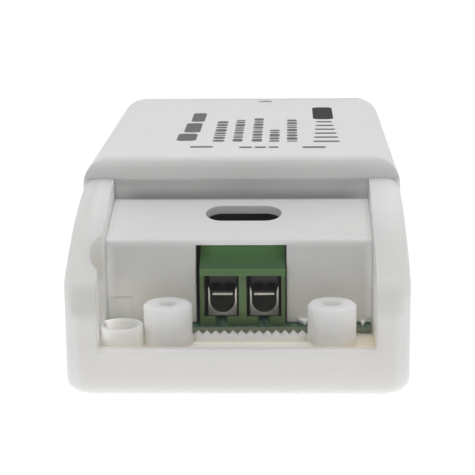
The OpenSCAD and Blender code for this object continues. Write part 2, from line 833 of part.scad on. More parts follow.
module relay_base() color("dimgray") at_relay()
    block([-relay_w / 2 + relay_shell + run, -relay_l / 2 + relay_shell + run, board_top],
        [relay_w / 2 - relay_shell - run, relay_l / 2 - relay_shell - run, yoke_low]);

module relay_cover() color("black") at_relay() difference() {
    block([-relay_w / 2, -relay_l / 2, board_top], [relay_w / 2, relay_l / 2, board_top + relay_h]);
    block([-relay_w / 2 + relay_shell, -relay_l / 2 + relay_shell, 0],
        [relay_w / 2 - relay_shell, relay_l / 2 - relay_shell, board_top + relay_h - relay_shell]);
}

module relay_yoke() color("darkgray") at_relay() {
    block([-yoke_half, yoke_back, yoke_low], [yoke_half, coil_y + core_r, bobbin_low]);
    block([-yoke_half, yoke_back, yoke_low], [yoke_half, yoke_back + yoke_t, armature_low - hinge_gap]);
}

module relay_bobbin() color("ivory") at_relay() translate([0, coil_y, bobbin_low]) difference() {
    union() {
        cylinder(d = coil_d, h = flange_t);
        cylinder(r = core_r + run + bobbin_wall, h = bobbin_h);
        translate([0, 0, bobbin_h - flange_t]) cylinder(d = coil_d, h = flange_t);
    }
    translate([0, 0, -over]) cylinder(r = core_r + run, h = far);
}

module relay_coil() color("peru") at_relay() translate([0, coil_y, bobbin_low + flange_t]) difference() {
    cylinder(d = coil_d - 2 * coil_sink, h = bobbin_h - 2 * flange_t);
    translate([0, 0, -over]) cylinder(r = core_r + run + bobbin_wall, h = far);
}

module relay_core() color("gray") at_relay() translate([0, coil_y, bobbin_low]) {
    cylinder(r = core_r, h = bobbin_h + over / 4);
    translate([0, 0, bobbin_h]) cylinder(r = pole_face_r, h = pole_face - bobbin_low - bobbin_h);
}

module relay_armature() color("darkgray") at_relay()
    block([-armature_half, yoke_back, armature_low],
        [armature_half, coil_y + pole_face_r, armature_low + armature_t]);

module relay_blade() color("goldenrod") at_relay() {
    block([-blade_half, yoke_back + 2 * yoke_t, armature_low + armature_t],
        [blade_half, contact_y + rivet_r, armature_low + armature_t + blade_t]);
    translate([0, contact_y, contact_low]) cylinder(r = rivet_r, h = rivet_h + blade_t / 2);
}

module relay_fixed_contact() color("goldenrod") at_relay() {
    strip = 0.6;
    block([-blade_half, contact_y + rivet_r, yoke_low],
        [blade_half, contact_y + rivet_r + strip, fixed_top - rivet_h]);
    block([-blade_half, contact_y - rivet_r, fixed_top - rivet_h - strip],
        [blade_half, contact_y + rivet_r + strip, fixed_top - rivet_h]);
    translate([0, contact_y, fixed_top - rivet_h - strip / 2]) cylinder(r = rivet_r, h = rivet_h + strip / 2);
}

// Radio board, standing on its long edge against the right-hand side wall
radio_t = 0.8;
radio_margin = 0.5;
radio_set = 1.5;
radio_face = board_half - radio_margin - radio_t;
radio_back = relay_y + relay_l / 2 - radio_set;
shield_in = 1;
antenna_l = 5.5;

module radio_board() color("navy")
    block([radio_face, radio_back - radio_l, board_top],
        [radio_face + radio_t, radio_back, board_top + radio_w]);

module radio_shield() color("silver") difference() {
    wall = 0.2;
    low = [radio_face - shield_h, radio_back - radio_l + shield_in, board_top + shield_in];
    high = [radio_face, radio_back - antenna_l, board_top + radio_w - shield_in];
    block(low, high);
    block(low + [wall, wall, wall], high + [over, -wall, -wall]);
}

// Power supply, between the relay and the input terminal
supply_y = relay_y + relay_l / 2;
lead_r = 0.3;
core_margin = 1;
core_lift = 1;
core_gap = 2.6;
transformer_x = -board_half + core_margin + core_l / 2;
transformer_y = supply_y + core_gap + wrap_t + core_depth / 2;
cap_margin = 1.2;
cap_gap = 0.95;
radio_gap = 0.75;
cap_x = board_half - cap_margin;
out_cap_y = radio_back + radio_gap + out_cap_d / 2;
main_cap_y = out_cap_y + out_cap_d / 2 + cap_gap + main_cap_d / 2;
chip_x = (transformer_x + core_l / 2 + cap_x - main_cap_d) / 2;
chip_gap = 0.8;
rectifier_size = [4, 4.8, 2.4];
power_chip_size = [3.9, 5, 1.5];

// A block standing on the board, centred on x, with its near face at y
module on_board(x, y, size) translate([x - size[0] / 2, y, board_top]) cube(size);

module transformer_core() color("dimgray") translate([transformer_x, transformer_y, board_top]) {
    half = core_l / 2;
    difference() {
        block([-half, -core_depth / 2, core_lift], [half, core_depth / 2, transformer_h]);
        block([-half + core_leg, -core_depth, core_lift + core_leg],
            [half - core_leg, core_depth, transformer_h - core_leg]);
    }
    block([-core_leg / 2, -core_depth / 2, core_lift + core_leg / 2],
        [core_leg / 2, core_depth / 2, transformer_h - core_leg / 2]);
}

module transformer_winding() color("gold") translate([transformer_x, transformer_y, board_top]) difference() {
    side = core_l / 2 - core_leg - run;
    reach = core_depth / 2 + wrap_t;
    top = transformer_h - core_leg - run;
    union() {
        block([-side, -reach, core_lift + core_leg + run], [side, reach, top]);
        for (y = [0, 1]) mirror([0, y, 0]) block([-side, core_depth / 2 + run, 0], [side, reach, top]);
    }
    block([-core_leg / 2 - run, -core_depth / 2 - run, 0], [core_leg / 2 + run, core_depth / 2 + run, far]);
}

// A standing can capacitor with a round top edge and a rubber foot
module can(d, h) {
    groove_z = 1.6;
    groove = 0.3;
    rotate_extrude() difference() {
        union() {
            square([d / 2 - groove, h]);
            square([d / 2, h - groove]);
        }
        translate([d / 2, groove_z]) circle(groove);
    }
}

module main_capacitor() color("midnightblue")
    translate([cap_x - main_cap_d / 2, main_cap_y, board_top]) can(main_cap_d, main_cap_h);

module output_capacitor() color("black")
    translate([cap_x - out_cap_d / 2, out_cap_y, board_top]) can(out_cap_d, out_cap_h);

// The choke stands beside the output terminal, under the shelf
module choke() color("black")
    translate([(term_shift + term_w / 2 + board_half) / 2, (front_y + front_t + term_back) / 2, board_top]) {
        rim_t = 1;
        rim_out = 0.5;
        cylinder(d = choke_d, h = rim_t);
        cylinder(d = choke_d - 2 * rim_out, h = choke_h);
        translate([0, 0, choke_h - rim_t]) cylinder(d = choke_d, h = rim_t);
    }

// The fuse resistor lies along the left-hand wall, beside the input terminal
module fuse_resistor() color("steelblue") {
    fuse_margin = 4.4;
    fuse_set = 4.2;
    body_r = 1.6;
    bead_r = 1.7;
    bead_l = 2;
    lead_out = 0.8;
    translate([-board_half + fuse_margin, -term_back + fuse_set, board_top]) {
        translate([0, 0, bead_r]) rotate([90, 0, 0]) {
            cylinder(r = body_r, h = fuse_l, center = true);
            for (z = [-1, 1]) translate([0, 0, z * (fuse_l - bead_l) / 2])
                cylinder(r = bead_r, h = bead_l, center = true);
            cylinder(r = lead_r, h = fuse_l + 2 * lead_out + lead_r, center = true);
        }
        for (y = [-1, 1]) translate([0, y * (fuse_l / 2 + lead_out), 0]) cylinder(r = lead_r, h = bead_r);
    }
}

// The surge disc stands along the right-hand wall, beside the input terminal
module varistor() color("royalblue") {
    disc_margin = 4.4;
    disc_set = 4.5;
    disc_t = 3.4;
    lift = 1.2;
    lead_gap = 5;
    translate([board_half - disc_margin, -term_back + disc_set, board_top]) {
        translate([0, 0, lift + varistor_d / 2]) rotate([0, 90, 0])
            cylinder(d = varistor_d, h = disc_t, center = true);
        for (y = [-1, 1]) translate([0, y * lead_gap / 2, 0]) cylinder(r = lead_r, h = lift + varistor_d / 2);
    }
}

module rectifier() color("black") on_board(chip_x, supply_y + chip_gap, rectifier_size);

module power_chip() color("black")
    on_board(chip_x, supply_y + 2 * chip_gap + rectifier_size[1], power_chip_size);

// Push switch under the button
plunger_d = 1.8;
plunger_up = 0.8;
plunger_down = 0.8;
switch_top = board_top + switch_h;
plunger_top = switch_top + plunger_up;
plunger_low = switch_top - plunger_down;
plate_t = 0.2;

module at_button() translate([button_x, button_y, 0]) children();

module switch_base() color("black") at_button() difference() {
    block([-switch_w / 2, -switch_l / 2, board_top], [switch_w / 2, switch_l / 2, switch_top - plate_t]);
    translate([0, 0, plunger_low - 2 * button_travel]) cylinder(d = plunger_d + 4 * run, h = far);
}

module switch_plate() color("silver") at_button() difference() {
    block([-switch_w / 2, -switch_l / 2, switch_top - plate_t], [switch_w / 2, switch_l / 2, switch_top]);
    cylinder(d = plunger_d + 4 * run, h = far);
}

module switch_plunger() color("dimgray") at_button()
    translate([0, 0, plunger_low]) cylinder(d = plunger_d, h = plunger_top - plunger_low);

module button_cap() color("gainsboro") at_button() {
    tab_h = 0.8;
    tab_half = 0.5;
    tab_reach = 0.7;
    tab_out = button_d / 2 + tab_reach;
    tab_top = guide_low - fit;
    translate([0, 0, plunger_top]) cylinder(d = button_d, h = body_h - button_sink - plunger_top);
    block([-tab_out, -tab_half, tab_top - tab_h], [tab_out, tab_half, tab_top]);
}

// The lamp beside the switch, with its lens on a wider foot
module status_led() color("lightyellow") {
    led_gap = 2;
    foot = [1.6, 0.8, 0.3];
    lens = [1, 0.8, 0.6];
    for (size = [foot, lens]) on_board(button_x - switch_w / 2 - led_gap, button_y, size);
}

bottom_case();
top_cover();
input_end_cover();
cover_screws();
circuit_board();
output_terminal_housing();
input_terminal_housing();
output_contacts();
input_contacts();
output_cage_left();
output_cage_right();
input_cage_left();
input_cage_right();
output_screw_left();
output_screw_right();
input_screw_left();
input_screw_right();
relay_base();
relay_cover();
relay_bobbin();
relay_coil();
relay_core();
relay_yoke();
relay_armature();
relay_blade();
relay_fixed_contact();
transformer_core();
transformer_winding();
main_capacitor();
output_capacitor();
choke();
fuse_resistor();
varistor();
rectifier();
power_chip();
radio_board();
radio_shield();
switch_base();
switch_plate();
switch_plunger();
button_cap();
status_led();
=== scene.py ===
import json
import math

import bpy
import numpy as np
from mathutils import Matrix, Vector


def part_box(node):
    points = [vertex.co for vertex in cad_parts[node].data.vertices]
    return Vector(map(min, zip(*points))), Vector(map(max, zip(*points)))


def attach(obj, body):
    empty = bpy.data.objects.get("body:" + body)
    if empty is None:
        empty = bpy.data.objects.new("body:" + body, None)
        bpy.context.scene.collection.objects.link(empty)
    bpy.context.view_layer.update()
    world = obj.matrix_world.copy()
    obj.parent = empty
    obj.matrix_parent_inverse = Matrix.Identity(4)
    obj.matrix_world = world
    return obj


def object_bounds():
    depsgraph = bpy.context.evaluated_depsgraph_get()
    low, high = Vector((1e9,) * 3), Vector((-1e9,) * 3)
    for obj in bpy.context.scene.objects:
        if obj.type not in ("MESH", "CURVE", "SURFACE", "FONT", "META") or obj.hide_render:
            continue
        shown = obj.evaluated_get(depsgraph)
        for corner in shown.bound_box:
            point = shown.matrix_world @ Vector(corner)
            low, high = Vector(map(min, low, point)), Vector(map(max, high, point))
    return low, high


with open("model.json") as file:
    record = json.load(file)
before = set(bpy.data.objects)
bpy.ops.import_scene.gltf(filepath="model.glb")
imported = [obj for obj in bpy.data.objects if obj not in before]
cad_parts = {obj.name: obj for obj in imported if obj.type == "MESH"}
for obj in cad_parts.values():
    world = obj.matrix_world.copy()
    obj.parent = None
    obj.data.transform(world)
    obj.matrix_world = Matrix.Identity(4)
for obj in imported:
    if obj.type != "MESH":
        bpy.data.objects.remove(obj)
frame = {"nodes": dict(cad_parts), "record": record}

MM = 0.001
cad_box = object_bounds()
scene = bpy.context.scene


def box_mm(node):
    """The lowest and the highest corner of a node, in millimetres."""
    low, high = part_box(node)
    return low / MM, high / MM


# Places on the box, in millimetres
half_width = cad_box[1][0] / MM
half_length = cad_box[1][1] / MM
cover_low, cover_high = box_mm("top_cover")
terminal_low, terminal_high = box_mm("output_terminal_housing")
clamp_low = box_mm("output_cage_left")[0]
contact_low, contact_high = box_mm("output_contacts")

# Heights
deck_top = cover_high.z
wall_top = box_mm("bottom_case")[1].z
wall_top_at_end = 12.5
shelf_front_edge = terminal_high.z + 0.62
shelf_back_edge = shelf_front_edge + 2.6
board_top = box_mm("circuit_board")[1].z
bay_floor = 4.6
lip_top = 5.6
tube_top = 7.0
terminal_window_top = board_top + 6.12
terminal_slope_foot = board_top + 6.86

# Distances along the box from its middle, alike at both ends
deck_end = half_length - 22.3
riser = deck_end - 0.6
front_wall = half_length - 11.6
front_wall_foot = -cover_low.y
post_row = half_length - 5.9
mount_row = half_length - 5.5
lip_inside = half_length - 1.6

# Distances across the box from its middle
bay_side = half_width - 3.9
mount_offset = 13.6
cord_grip_side = 9.0
beside_right_post = 12.0
pole_middle = (terminal_low.x + terminal_high.x) / 2

# Radius of the hollow that clears a screwdriver over a mounting hole
relief_radius = 3.5


class Signal:
    """A shader value. Arithmetic on it adds Math nodes to its graph."""

    def __init__(self, graph, socket):
        self.graph = graph
        self.socket = socket

    def maths(self, operation, *values):
        """A Math node on these values."""
        return self.graph.node("ShaderNodeMath", {"operation": operation}, dict(enumerate(values)))

    def __add__(self, other):
        return self.maths("ADD", self, other)

    __radd__ = __add__

    def __sub__(self, other):
        return self.maths("SUBTRACT", self, other)

    def __rsub__(self, other):
        return self.maths("SUBTRACT", other, self)

    def __mul__(self, other):
        return self.maths("MULTIPLY", self, other)

    __rmul__ = __mul__

    def __truediv__(self, other):
        return self.maths("DIVIDE", self, other)

    def __abs__(self):
        return self.maths("ABSOLUTE", self)

    def wave(self, length):
        """A sine wave that repeats each time the value grows by length."""
        return self.maths("SINE", self * (2 * math.pi / length))

    def above(self, start, end):
        """0 below start, 1 past end, and a smooth rise between them."""
        settings = {"interpolation_type": "SMOOTHSTEP", "clamp": True}
        sockets = {"Value": self, "From Min": start, "From Max": end}
        return self.graph.node("ShaderNodeMapRange", settings, sockets)

    def below(self, start, end):
        """1 below start, 0 past end, and a smooth fall between them."""
        return 1 - self.above(start, end)

    def within(self, start, full, fade, end):
        """1 from full to fade, 0 before start and past end, and smooth between them."""
        return self.above(start, full) * self.below(fade, end)


class Graph:
    """A node tree that is filled one node at a time."""

    def __init__(self, tree):
        self.tree = tree

    def node(self, kind, settings, sockets, output=0):
        """Adds a node, applies its settings, then sets or links its sockets, and returns one output."""
        made = self.tree.nodes.new(kind)
        for name, value in settings.items():
            setattr(made, name, value)
        self.fill(made, sockets)
        return Signal(self, made.outputs[output])

    def fill(self, made, sockets):
        """Sets each socket of a node to a value, or links it where a Signal is given."""
        for name, value in sockets.items():
            if isinstance(value, Signal):
                self.tree.links.new(value.socket, made.inputs[name])
            else:
                made.inputs[name].default_value = value

    def part(self, vector, axis):
        """The X, Y or Z part of a vector."""
        return self.node("ShaderNodeSeparateXYZ", {}, {0: vector}, axis)


class Finish(Graph):
    """A material. Its lengths, and x, y and z on the object, are in millimetres."""

    def __init__(self, name):
        self.material = bpy.data.materials.new(name)
        self.material.use_nodes = True
        super().__init__(self.material.node_tree)
        self.shader = self.tree.nodes["Principled BSDF"]
        self.place = self.node("ShaderNodeTexCoord", {}, {}, "Object")
        self.x, self.y, self.z = (self.part(self.place, axis) / MM for axis in "XYZ")

    def noise(self, size, detail=3.0, rough=0.55, where=None):
        """Cloudy noise from 0 to 1 whose blotches are about as large as size."""
        scale = 1 / (size * MM)
        sockets = {"Vector": where or self.place, "Scale": scale, "Detail": detail, "Roughness": rough}
        return self.node("ShaderNodeTexNoise", {}, sockets)

    def stretched(self, across, along, up):
        """Object coordinates scaled by one factor for each axis."""
        sockets = {0: self.place, 1: (across, along, up)}
        return self.node("ShaderNodeVectorMath", {"operation": "MULTIPLY"}, sockets)

    def normal(self):
        """The direction that the surface faces."""
        return self.node("ShaderNodeNewGeometry", {}, {}, "Normal")

    def tint(self, factor, plain, marked):
        """Blends two colours, each a Signal or three numbers, by a factor."""
        first, second = (v if isinstance(v, Signal) else (*v, 1.0) for v in (plain, marked))
        sockets = {"Factor": factor, 6: first, 7: second}
        return self.node("ShaderNodeMix", {"data_type": "RGBA"}, sockets, 2)

    def relief(self, height, depth, edge=0.0, where=1.0):
        """A surface normal from a height signal. Edges are rounded to a radius where a mask is 1."""
        sockets = {"Height": height, "Distance": depth * MM, "Strength": 1.0}
        if edge:
            rounded = self.node("ShaderNodeBevel", {"samples": 6}, {"Radius": edge * MM})
            blend = {0: where, 4: self.normal(), 5: rounded}
            sockets["Normal"] = self.node("ShaderNodeMix", {"data_type": "VECTOR"}, blend, 1)
        return self.node("ShaderNodeBump", {}, sockets)

    def done(self, sockets):
        """Sets or links the shader's sockets, and returns the material."""
        self.fill(self.shader, sockets)
        return self.material


def tone(level, colour=(1.0, 1.0, 0.99)):
    """A colour, white if none is given, times one number or a number for each of red, green and blue."""
    return tuple(np.multiply(level, colour).tolist())


def outer_skin(look, shade, clouds):
    """White with cloudy flow marks, painted shade on sunken faces and painted light on lit edges, by place
    on the box.
    """
    along, across, height = abs(look.y), abs(look.x), look.z
    grey_white = (1.0, 1.0, 0.985)
    flow_marks = 0.5 * clouds.above(0.35, 0.7)
    skin = look.tint(flow_marks, tone(shade, (1.0, 1.0, 0.995)), tone(shade, (0.965, 0.965, 0.955)))

    # Painted shade: the end faces are a little darker, and warmer.
    end_face = along.above(half_length - 0.7, half_length - 0.2)
    skin = look.tint(end_face, skin, tone(0.95 * shade, (1.0, 0.985, 0.965)))

    # Painted shadow on the riser under the deck's band: darkest at its foot, lighter near the side walls.
    riser_face = (along.within(riser - 1.4, riser - 0.4, riser + 0.1, riser + 0.5)
                  * height.above(shelf_back_edge - 0.6, shelf_back_edge + 0.2)
                  * height.below(wall_top - 0.1, wall_top + 0.1))
    rise = height.above(shelf_back_edge, shelf_back_edge + 2)
    riser_painted_shadow = look.tint(rise, tone(0.49 * shade), tone(0.88 * shade))
    riser_painted_shadow = look.tint(0.5 * across.above(bay_side - 3.4, bay_side + 0.3), riser_painted_shadow, tone(shade))
    skin = look.tint(riser_face, skin, riser_painted_shadow)

    # Painted shade and highlight on the deck's end band: darker low down, paler at its top edge.
    deck_band = (along.within(deck_end - 0.3, deck_end - 0.05, deck_end + 0.05, deck_end + 0.2)
                 * height.above(wall_top - 0.05, wall_top + 0.1))
    rise = height.above(wall_top + 0.7, deck_top - 0.1)
    skin = look.tint(deck_band, skin, look.tint(rise, tone(0.925 * shade), tone(1.1 * shade)))

    # Painted light and shade on the front walls of the bays: warm and pale low down and near the side walls,
    # as by light through the thin walls, greyer high up.
    wall_face = (along.within(front_wall - 0.2, front_wall - 0.05, front_wall + 0.15, front_wall + 0.3)
                 * across.below(bay_side - 0.1, bay_side - 0.04)
                 * height.below(shelf_front_edge - 1, shelf_front_edge - 0.4))
    wall_painted_light = look.tint(height.above(8, 13), tone(shade, (0.99, 0.965, 0.92)), tone(0.915 * shade))
    corner = across.above(bay_side - 1.3, bay_side - 0.2)
    wall_painted_light = look.tint(corner, wall_painted_light, tone(1.15 * shade, (1.0, 0.99, 0.96)))
    skin = look.tint(wall_face, skin, wall_painted_light)

    # Painted shade on the side walls beside the bays, lightened from shelf height upwards except on the left
    # outer face.
    wall_rim = (across.above(bay_side - 0.1, bay_side + 0.2) * height.above(9, 14)
                * along.above(deck_end + 0.1, deck_end + 0.6))
    rise = (height.above(shelf_front_edge - 0.1, wall_top - 0.3)
            * look.x.above(1.6 - half_width, 2.8 - half_width))
    rim_painted_shade = look.tint(rise, tone(0.83 * shade, grey_white), tone(0.99 * shade, grey_white))
    skin = look.tint(wall_rim, skin, rim_painted_shade)

    # Painted light along the left seam of shelf and side wall, hiding the shade in that crease.
    left_seam_painted_light = (across.within(bay_side - 0.6, bay_side - 0.05, bay_side + 0.02, bay_side + 0.1)
                 * along.within(deck_end, deck_end + 0.3, front_wall - 0.2, front_wall + 0.8)
                 * height.above(shelf_front_edge - 0.3, shelf_front_edge) * look.x.below(-1, 1))
    skin = look.tint(left_seam_painted_light, skin, tone(0.99))

    # Painted shade on the rounded front corners of the side walls at mid height, stronger on the left.
    shoulder_painted_shade = (along.above(half_length - 1.8, half_length - 0.8)
                * height.above(wall_top_at_end - 4, wall_top_at_end - 2)
                * height.below(wall_top_at_end, wall_top_at_end + 2.5)
                * across.below(half_width - 1.4, half_width - 0.5) * (1 - 0.55 * look.x.above(-1, 1)))
    skin = look.tint(shoulder_painted_shade, skin, tone(0.755 * shade, grey_white))

    # Painted shade on the top of the lip, lighter towards its outer edge.
    lip = (along.above(lip_inside - 0.5, lip_inside) * height.above(lip_top - 0.6, lip_top - 0.1)
           * across.below(bay_side - 0.3, bay_side))
    lip_painted_shade = look.tint(along.above(half_length - 0.7, half_length - 0.1),
                         tone(0.73 * shade, (1.0, 0.975, 0.94)), tone(0.87 * shade, (1.0, 0.98, 0.955)))
    return look.tint(lip, skin, lip_painted_shade)


def bay_painted_glow(look, shade):
    """Painted light inside the wiring bays, as by light through the thin white walls: paler, and warmer
    towards the floor, with painted shade on the floor and high on the side walls.
    """
    along, across, height = abs(look.y), abs(look.x), look.z
    inner_white = (1.0, 0.995, 0.975)
    # Painted warm light, stronger towards the floor.
    fall = height.below(bay_floor - 0.2, 13)
    skin = look.tint(fall, tone(shade, (1.0, 0.995, 0.98)), tone(shade, (1.0, 0.965, 0.905)))

    # Painted shade on the bay floor, most between the posts and beside the right-hand post.
    between_posts = (across.below(cord_grip_side - 0.5, cord_grip_side + 0.5)
                     * along.above(post_row, post_row + 0.9))
    floor_painted_shade = look.tint(between_posts, tone(shade, (0.915, 0.868, 0.765)), tone(shade, (0.76, 0.72, 0.68)))
    right_corner = look.x.above(beside_right_post - 0.5, beside_right_post + 0.5)
    floor_painted_shade = look.tint(right_corner, floor_painted_shade, tone(shade, (0.835, 0.76, 0.65)))
    skin = look.tint(height.below(bay_floor + 0.1, bay_floor + 1.4), skin, floor_painted_shade)

    # Painted shade high on the side walls of the bays, painted light low down.
    side_face = across.above(bay_side - 0.2, bay_side - 0.04) * height.above(lip_top + 0.4, lip_top + 1.4)
    rise = height.above(10.5, 13)
    side_painted_shade = look.tint(rise, tone(0.98 * shade, inner_white), tone(0.84 * shade, inner_white))
    return look.tint(side_face, skin, side_painted_shade)


def white_plastic(name, shade, bay_glow_level, edge, depth):
    """Satin white moulding: flow marks, fine spark texture, painted light and shade by place on the box, and
    a paler, warmer skin of painted light in the wiring bays.
    """
    look = Finish(name)
    along, across, height = abs(look.y), abs(look.x), look.z
    clouds = look.noise(9, 2.0)
    grain = look.noise(0.22, 4.0, 0.6)

    # Inside the wiring bays the skin has painted light instead.
    bay = (along.within(front_wall_foot - 0.2, front_wall_foot, lip_inside - 0.5, lip_inside)
           * across.below(bay_side + 0.02, bay_side + 0.2)
           * height.within(bay_floor - 1.4, bay_floor - 0.2, shelf_front_edge - 1, shelf_front_edge - 0.2))
    skin = look.tint(bay, outer_skin(look, shade, clouds), bay_painted_glow(look, bay_glow_level))

    # Painted shade in the hollow over each mounting hole, darker high up.
    to_mount = look.node("ShaderNodeCombineXYZ", {}, {0: across - mount_offset, 1: along - mount_row})
    off_mount = look.node("ShaderNodeVectorMath", {"operation": "LENGTH"}, {0: to_mount}, "Value")
    mount_corner = (look.x * look.y).above(0, 1)
    hollow = (mount_corner * off_mount.below(relief_radius + 0.02, relief_radius + 0.1)
              * across.above(bay_side, bay_side + 0.05) * height.above(tube_top + 0.2, tube_top + 1))
    hollow_white = (1.0, 0.995, 0.97)
    rise = height.above(11, 12.5)
    hollow_painted_shade = look.tint(rise, tone(0.95 * shade, hollow_white), tone(0.8 * shade, hollow_white))
    skin = look.tint(hollow, skin, hollow_painted_shade)

    shelf_edges = (across.below(bay_side - 0.5, bay_side - 0.2)
                   * height.below(shelf_front_edge + 0.8, shelf_front_edge + 1.4))
    near_deck_edge = height.above(deck_top - 1.6, deck_top - 1.1) * look.y.below(1 - deck_end, 2 - deck_end)
    return look.done({"Base Color": skin, "Roughness": 0.34 + 0.16 * grain + 0.08 * clouds,
                      "Normal": look.relief(grain, 0.012, edge, shelf_edges + near_deck_edge),
                      "Subsurface Weight": 0.8, "Subsurface Scale": depth * MM,
                      "Subsurface Radius": (1.0, 0.92, 0.8), "Specular IOR Level": 0.4})


def dyed_plastic(name, colour, dark, rough, grain_size):
    """Coloured moulding with cloudy pigment and a fine skin."""
    look = Finish(name)
    clouds = look.noise(3.5, 2.0)
    grain = look.noise(grain_size, 4.0, 0.6)
    return look.done({"Base Color": look.tint(clouds.above(0.3, 0.75), colour, dark),
                      "Roughness": rough + 0.2 * grain - 0.06 * clouds,
                      "Normal": look.relief(grain, 0.01, 0.12), "Specular IOR Level": 0.45})


def terminal_moulding(name, colour, rough):
    """Green moulding: a cloudy front painted darker as shade, a brighter beam over the windows, and a slope
    with painted shade at its foot that pales upwards.
    """
    look = Finish(name)
    clouds = look.noise(3.5, 2.0)
    grain = look.noise(0.2, 4.0, 0.6)
    # Painted shade: the front is darker than the moulding's own green.
    face = tone((0.82, 0.8, 0.74), colour)
    front = look.tint(clouds.above(0.3, 0.75), face, tone(0.88, face))
    beam = look.z.above(terminal_window_top - 0.3, terminal_window_top + 0.1)
    front = look.tint(beam, front, tone((0.98, 1.18, 0.98), colour))
    # Painted light and shade on the slope: dark at its foot under the shelf, paler upwards.
    slope_start = terminal_slope_foot + 0.16
    slope = look.tint(look.z.above(slope_start, terminal_high.z + 0.02),
                      tone((0.345, 0.54, 0.375), colour), tone((1.0, 1.23, 1.08), colour))
    sloping = look.z.above(terminal_slope_foot, slope_start)
    return look.done({"Base Color": look.tint(sloping, front, slope),
                      "Roughness": rough + 0.2 * grain - 0.06 * clouds,
                      "Normal": look.relief(grain, 0.01, 0.12), "Specular IOR Level": 0.25})


def plated_metal(name, bright, dull, rough, streak, mouth=None):
    """Plated or bare metal with drawing streaks along one axis and duller patches.

    A mouth is a distance along the box and a height. The metal past the first and below the second keeps its
    colour, and the rest is painted dark as shadow inside the mouth, most of all near that height and above
    it.
    """
    look = Finish(name)
    streaks = look.noise(0.35, 3.0, 0.6, look.stretched(*streak))
    patches = look.noise(1.6, 3.0)
    skin = look.tint(patches.above(0.45, 0.75), bright, dull)
    metal = 1.0
    if mouth:
        reach, top = mouth
        unshaded_front = abs(look.y).above(reach - 0.05, reach) * look.z.below(top, top + 0.05)
        mouth_painted_shadow = look.tint(look.z.above(top - 0.4, top - 0.3), tone(0.45, dull), tone(0.045, dull))
        skin = look.tint(unshaded_front, mouth_painted_shadow, skin)
        metal = 0.45
    return look.done({"Base Color": skin, "Metallic": metal,
                      "Roughness": rough + 0.22 * streaks + 0.12 * patches,
                      "Normal": look.relief(streaks, 0.006, 0.08)})


def laminate_board(name, mask, copper, edge, pitch):
    """Glass laminate: lacquer over raised copper tracks on its faces, bare glass and resin at its edges."""
    look = Finish(name)
    bends = look.noise(5, 1.0)
    runs = (look.x / pitch + bends * 3.0).wave(1).above(0.1, 0.35)
    tracks = runs * look.noise(7, 0.0).above(0.46, 0.5)
    face = abs(look.part(look.normal(), "Z")).above(0.5, 0.7)
    weave = look.x.wave(0.45) * look.y.wave(0.45)
    glass_layers = 0.5 + 0.3 * look.z.wave(0.2)
    cut = look.tint(glass_layers, edge, tone(0.7, edge))
    return look.done({"Base Color": look.tint(face, cut, look.tint(tracks, mask, copper)),
                      "Roughness": 0.62 - 0.28 * face + 0.05 * weave,
                      "Normal": look.relief(tracks + 0.06 * weave, 0.03), "Specular IOR Level": 0.5})


def wound_wire(name, bright, dark, wire):
    """Enamelled wire wound in tight turns about an upright axis."""
    look = Finish(name)
    turns = look.z.wave(wire)
    drift = look.noise(2, 2.0)
    return look.done({"Base Color": look.tint(turns.above(-0.9, 0.4) * (0.6 + 0.4 * drift), dark, bright),
                      "Metallic": 0.85, "Roughness": 0.34 + 0.12 * drift,
                      "Normal": look.relief(turns, 0.03), "Coat Weight": 0.5, "Coat Roughness": 0.15})


def wrapped_tape(name, film, lap):
    """Thin film tape laid in overlapping turns, with a faint edge at each lap."""
    look = Finish(name)
    laps = look.z.wave(lap)
    creases = look.noise(1.2, 3.0)
    return look.done({"Base Color": look.tint(laps.above(0.7, 0.98), film, tone(0.6, film)),
                      "Roughness": 0.22 + 0.25 * creases,
                      "Normal": look.relief(laps.above(0.8, 1.0) + 0.4 * creases, 0.02),
                      "Coat Weight": 0.4, "Coat Roughness": 0.1})


def shrink_sleeve(name, sleeve, stripe, lid):
    """Shrink sleeve with a pale stripe up one side and a bare metal lid above it."""
    look = Finish(name)
    wrinkles = look.noise(0.8, 3.0)
    top = look.part(look.normal(), "Z").above(0.6, 0.8)
    striped = look.tint(look.part(look.normal(), "X").below(-0.96, -0.93), sleeve, stripe)
    return look.done({"Base Color": look.tint(top, striped, lid), "Metallic": top,
                      "Roughness": 0.25 + 0.2 * wrinkles, "Normal": look.relief(wrinkles, 0.02),
                      "Coat Weight": 0.3, "Coat Roughness": 0.1})


def dipped_body(name, coat, dark):
    """Brushed or dipped lacquer, thicker in some places, with a few pin holes."""
    look = Finish(name)
    runs = look.noise(1.5, 3.0)
    pits = look.noise(0.3, 1.0).above(0.68, 0.74)
    return look.done({"Base Color": look.tint(runs.above(0.35, 0.7), coat, dark),
                      "Roughness": 0.2 + 0.3 * runs + 0.2 * pits,
                      "Normal": look.relief(runs - 0.5 * pits, 0.04),
                      "Coat Weight": 0.4, "Coat Roughness": 0.12})


def printing_ink(name, ink, worn):
    """Pad-printed ink, a little thin in places."""
    look = Finish(name)
    thin = look.noise(0.5, 4.0, 0.65)
    return look.done({"Base Color": look.tint(thin.above(0.5, 0.85), ink, worn),
                      "Roughness": 0.55 + 0.2 * thin, "Normal": look.relief(thin, 0.004),
                      "Specular IOR Level": 0.15})


def clear_resin(name, resin, heart):
    """Cast lamp resin over a pale phosphor heart."""
    look = Finish(name)
    swirl = look.noise(0.4, 2.0)
    return look.done({"Base Color": look.tint(swirl.above(0.4, 0.7), resin, heart),
                      "Roughness": 0.12 + 0.15 * swirl, "Normal": look.relief(swirl, 0.01),
                      "Coat Weight": 0.6, "Coat Roughness": 0.05})


# The mouths of the clamps and of the contact bars, where their painted shadow starts: a distance along the
# box and a height
clamp_mouth = (-clamp_low.y - 0.2, clamp_low.z + 3.65)
contact_mouth = (-contact_low.y - 0.1, contact_high.z - 0.31)

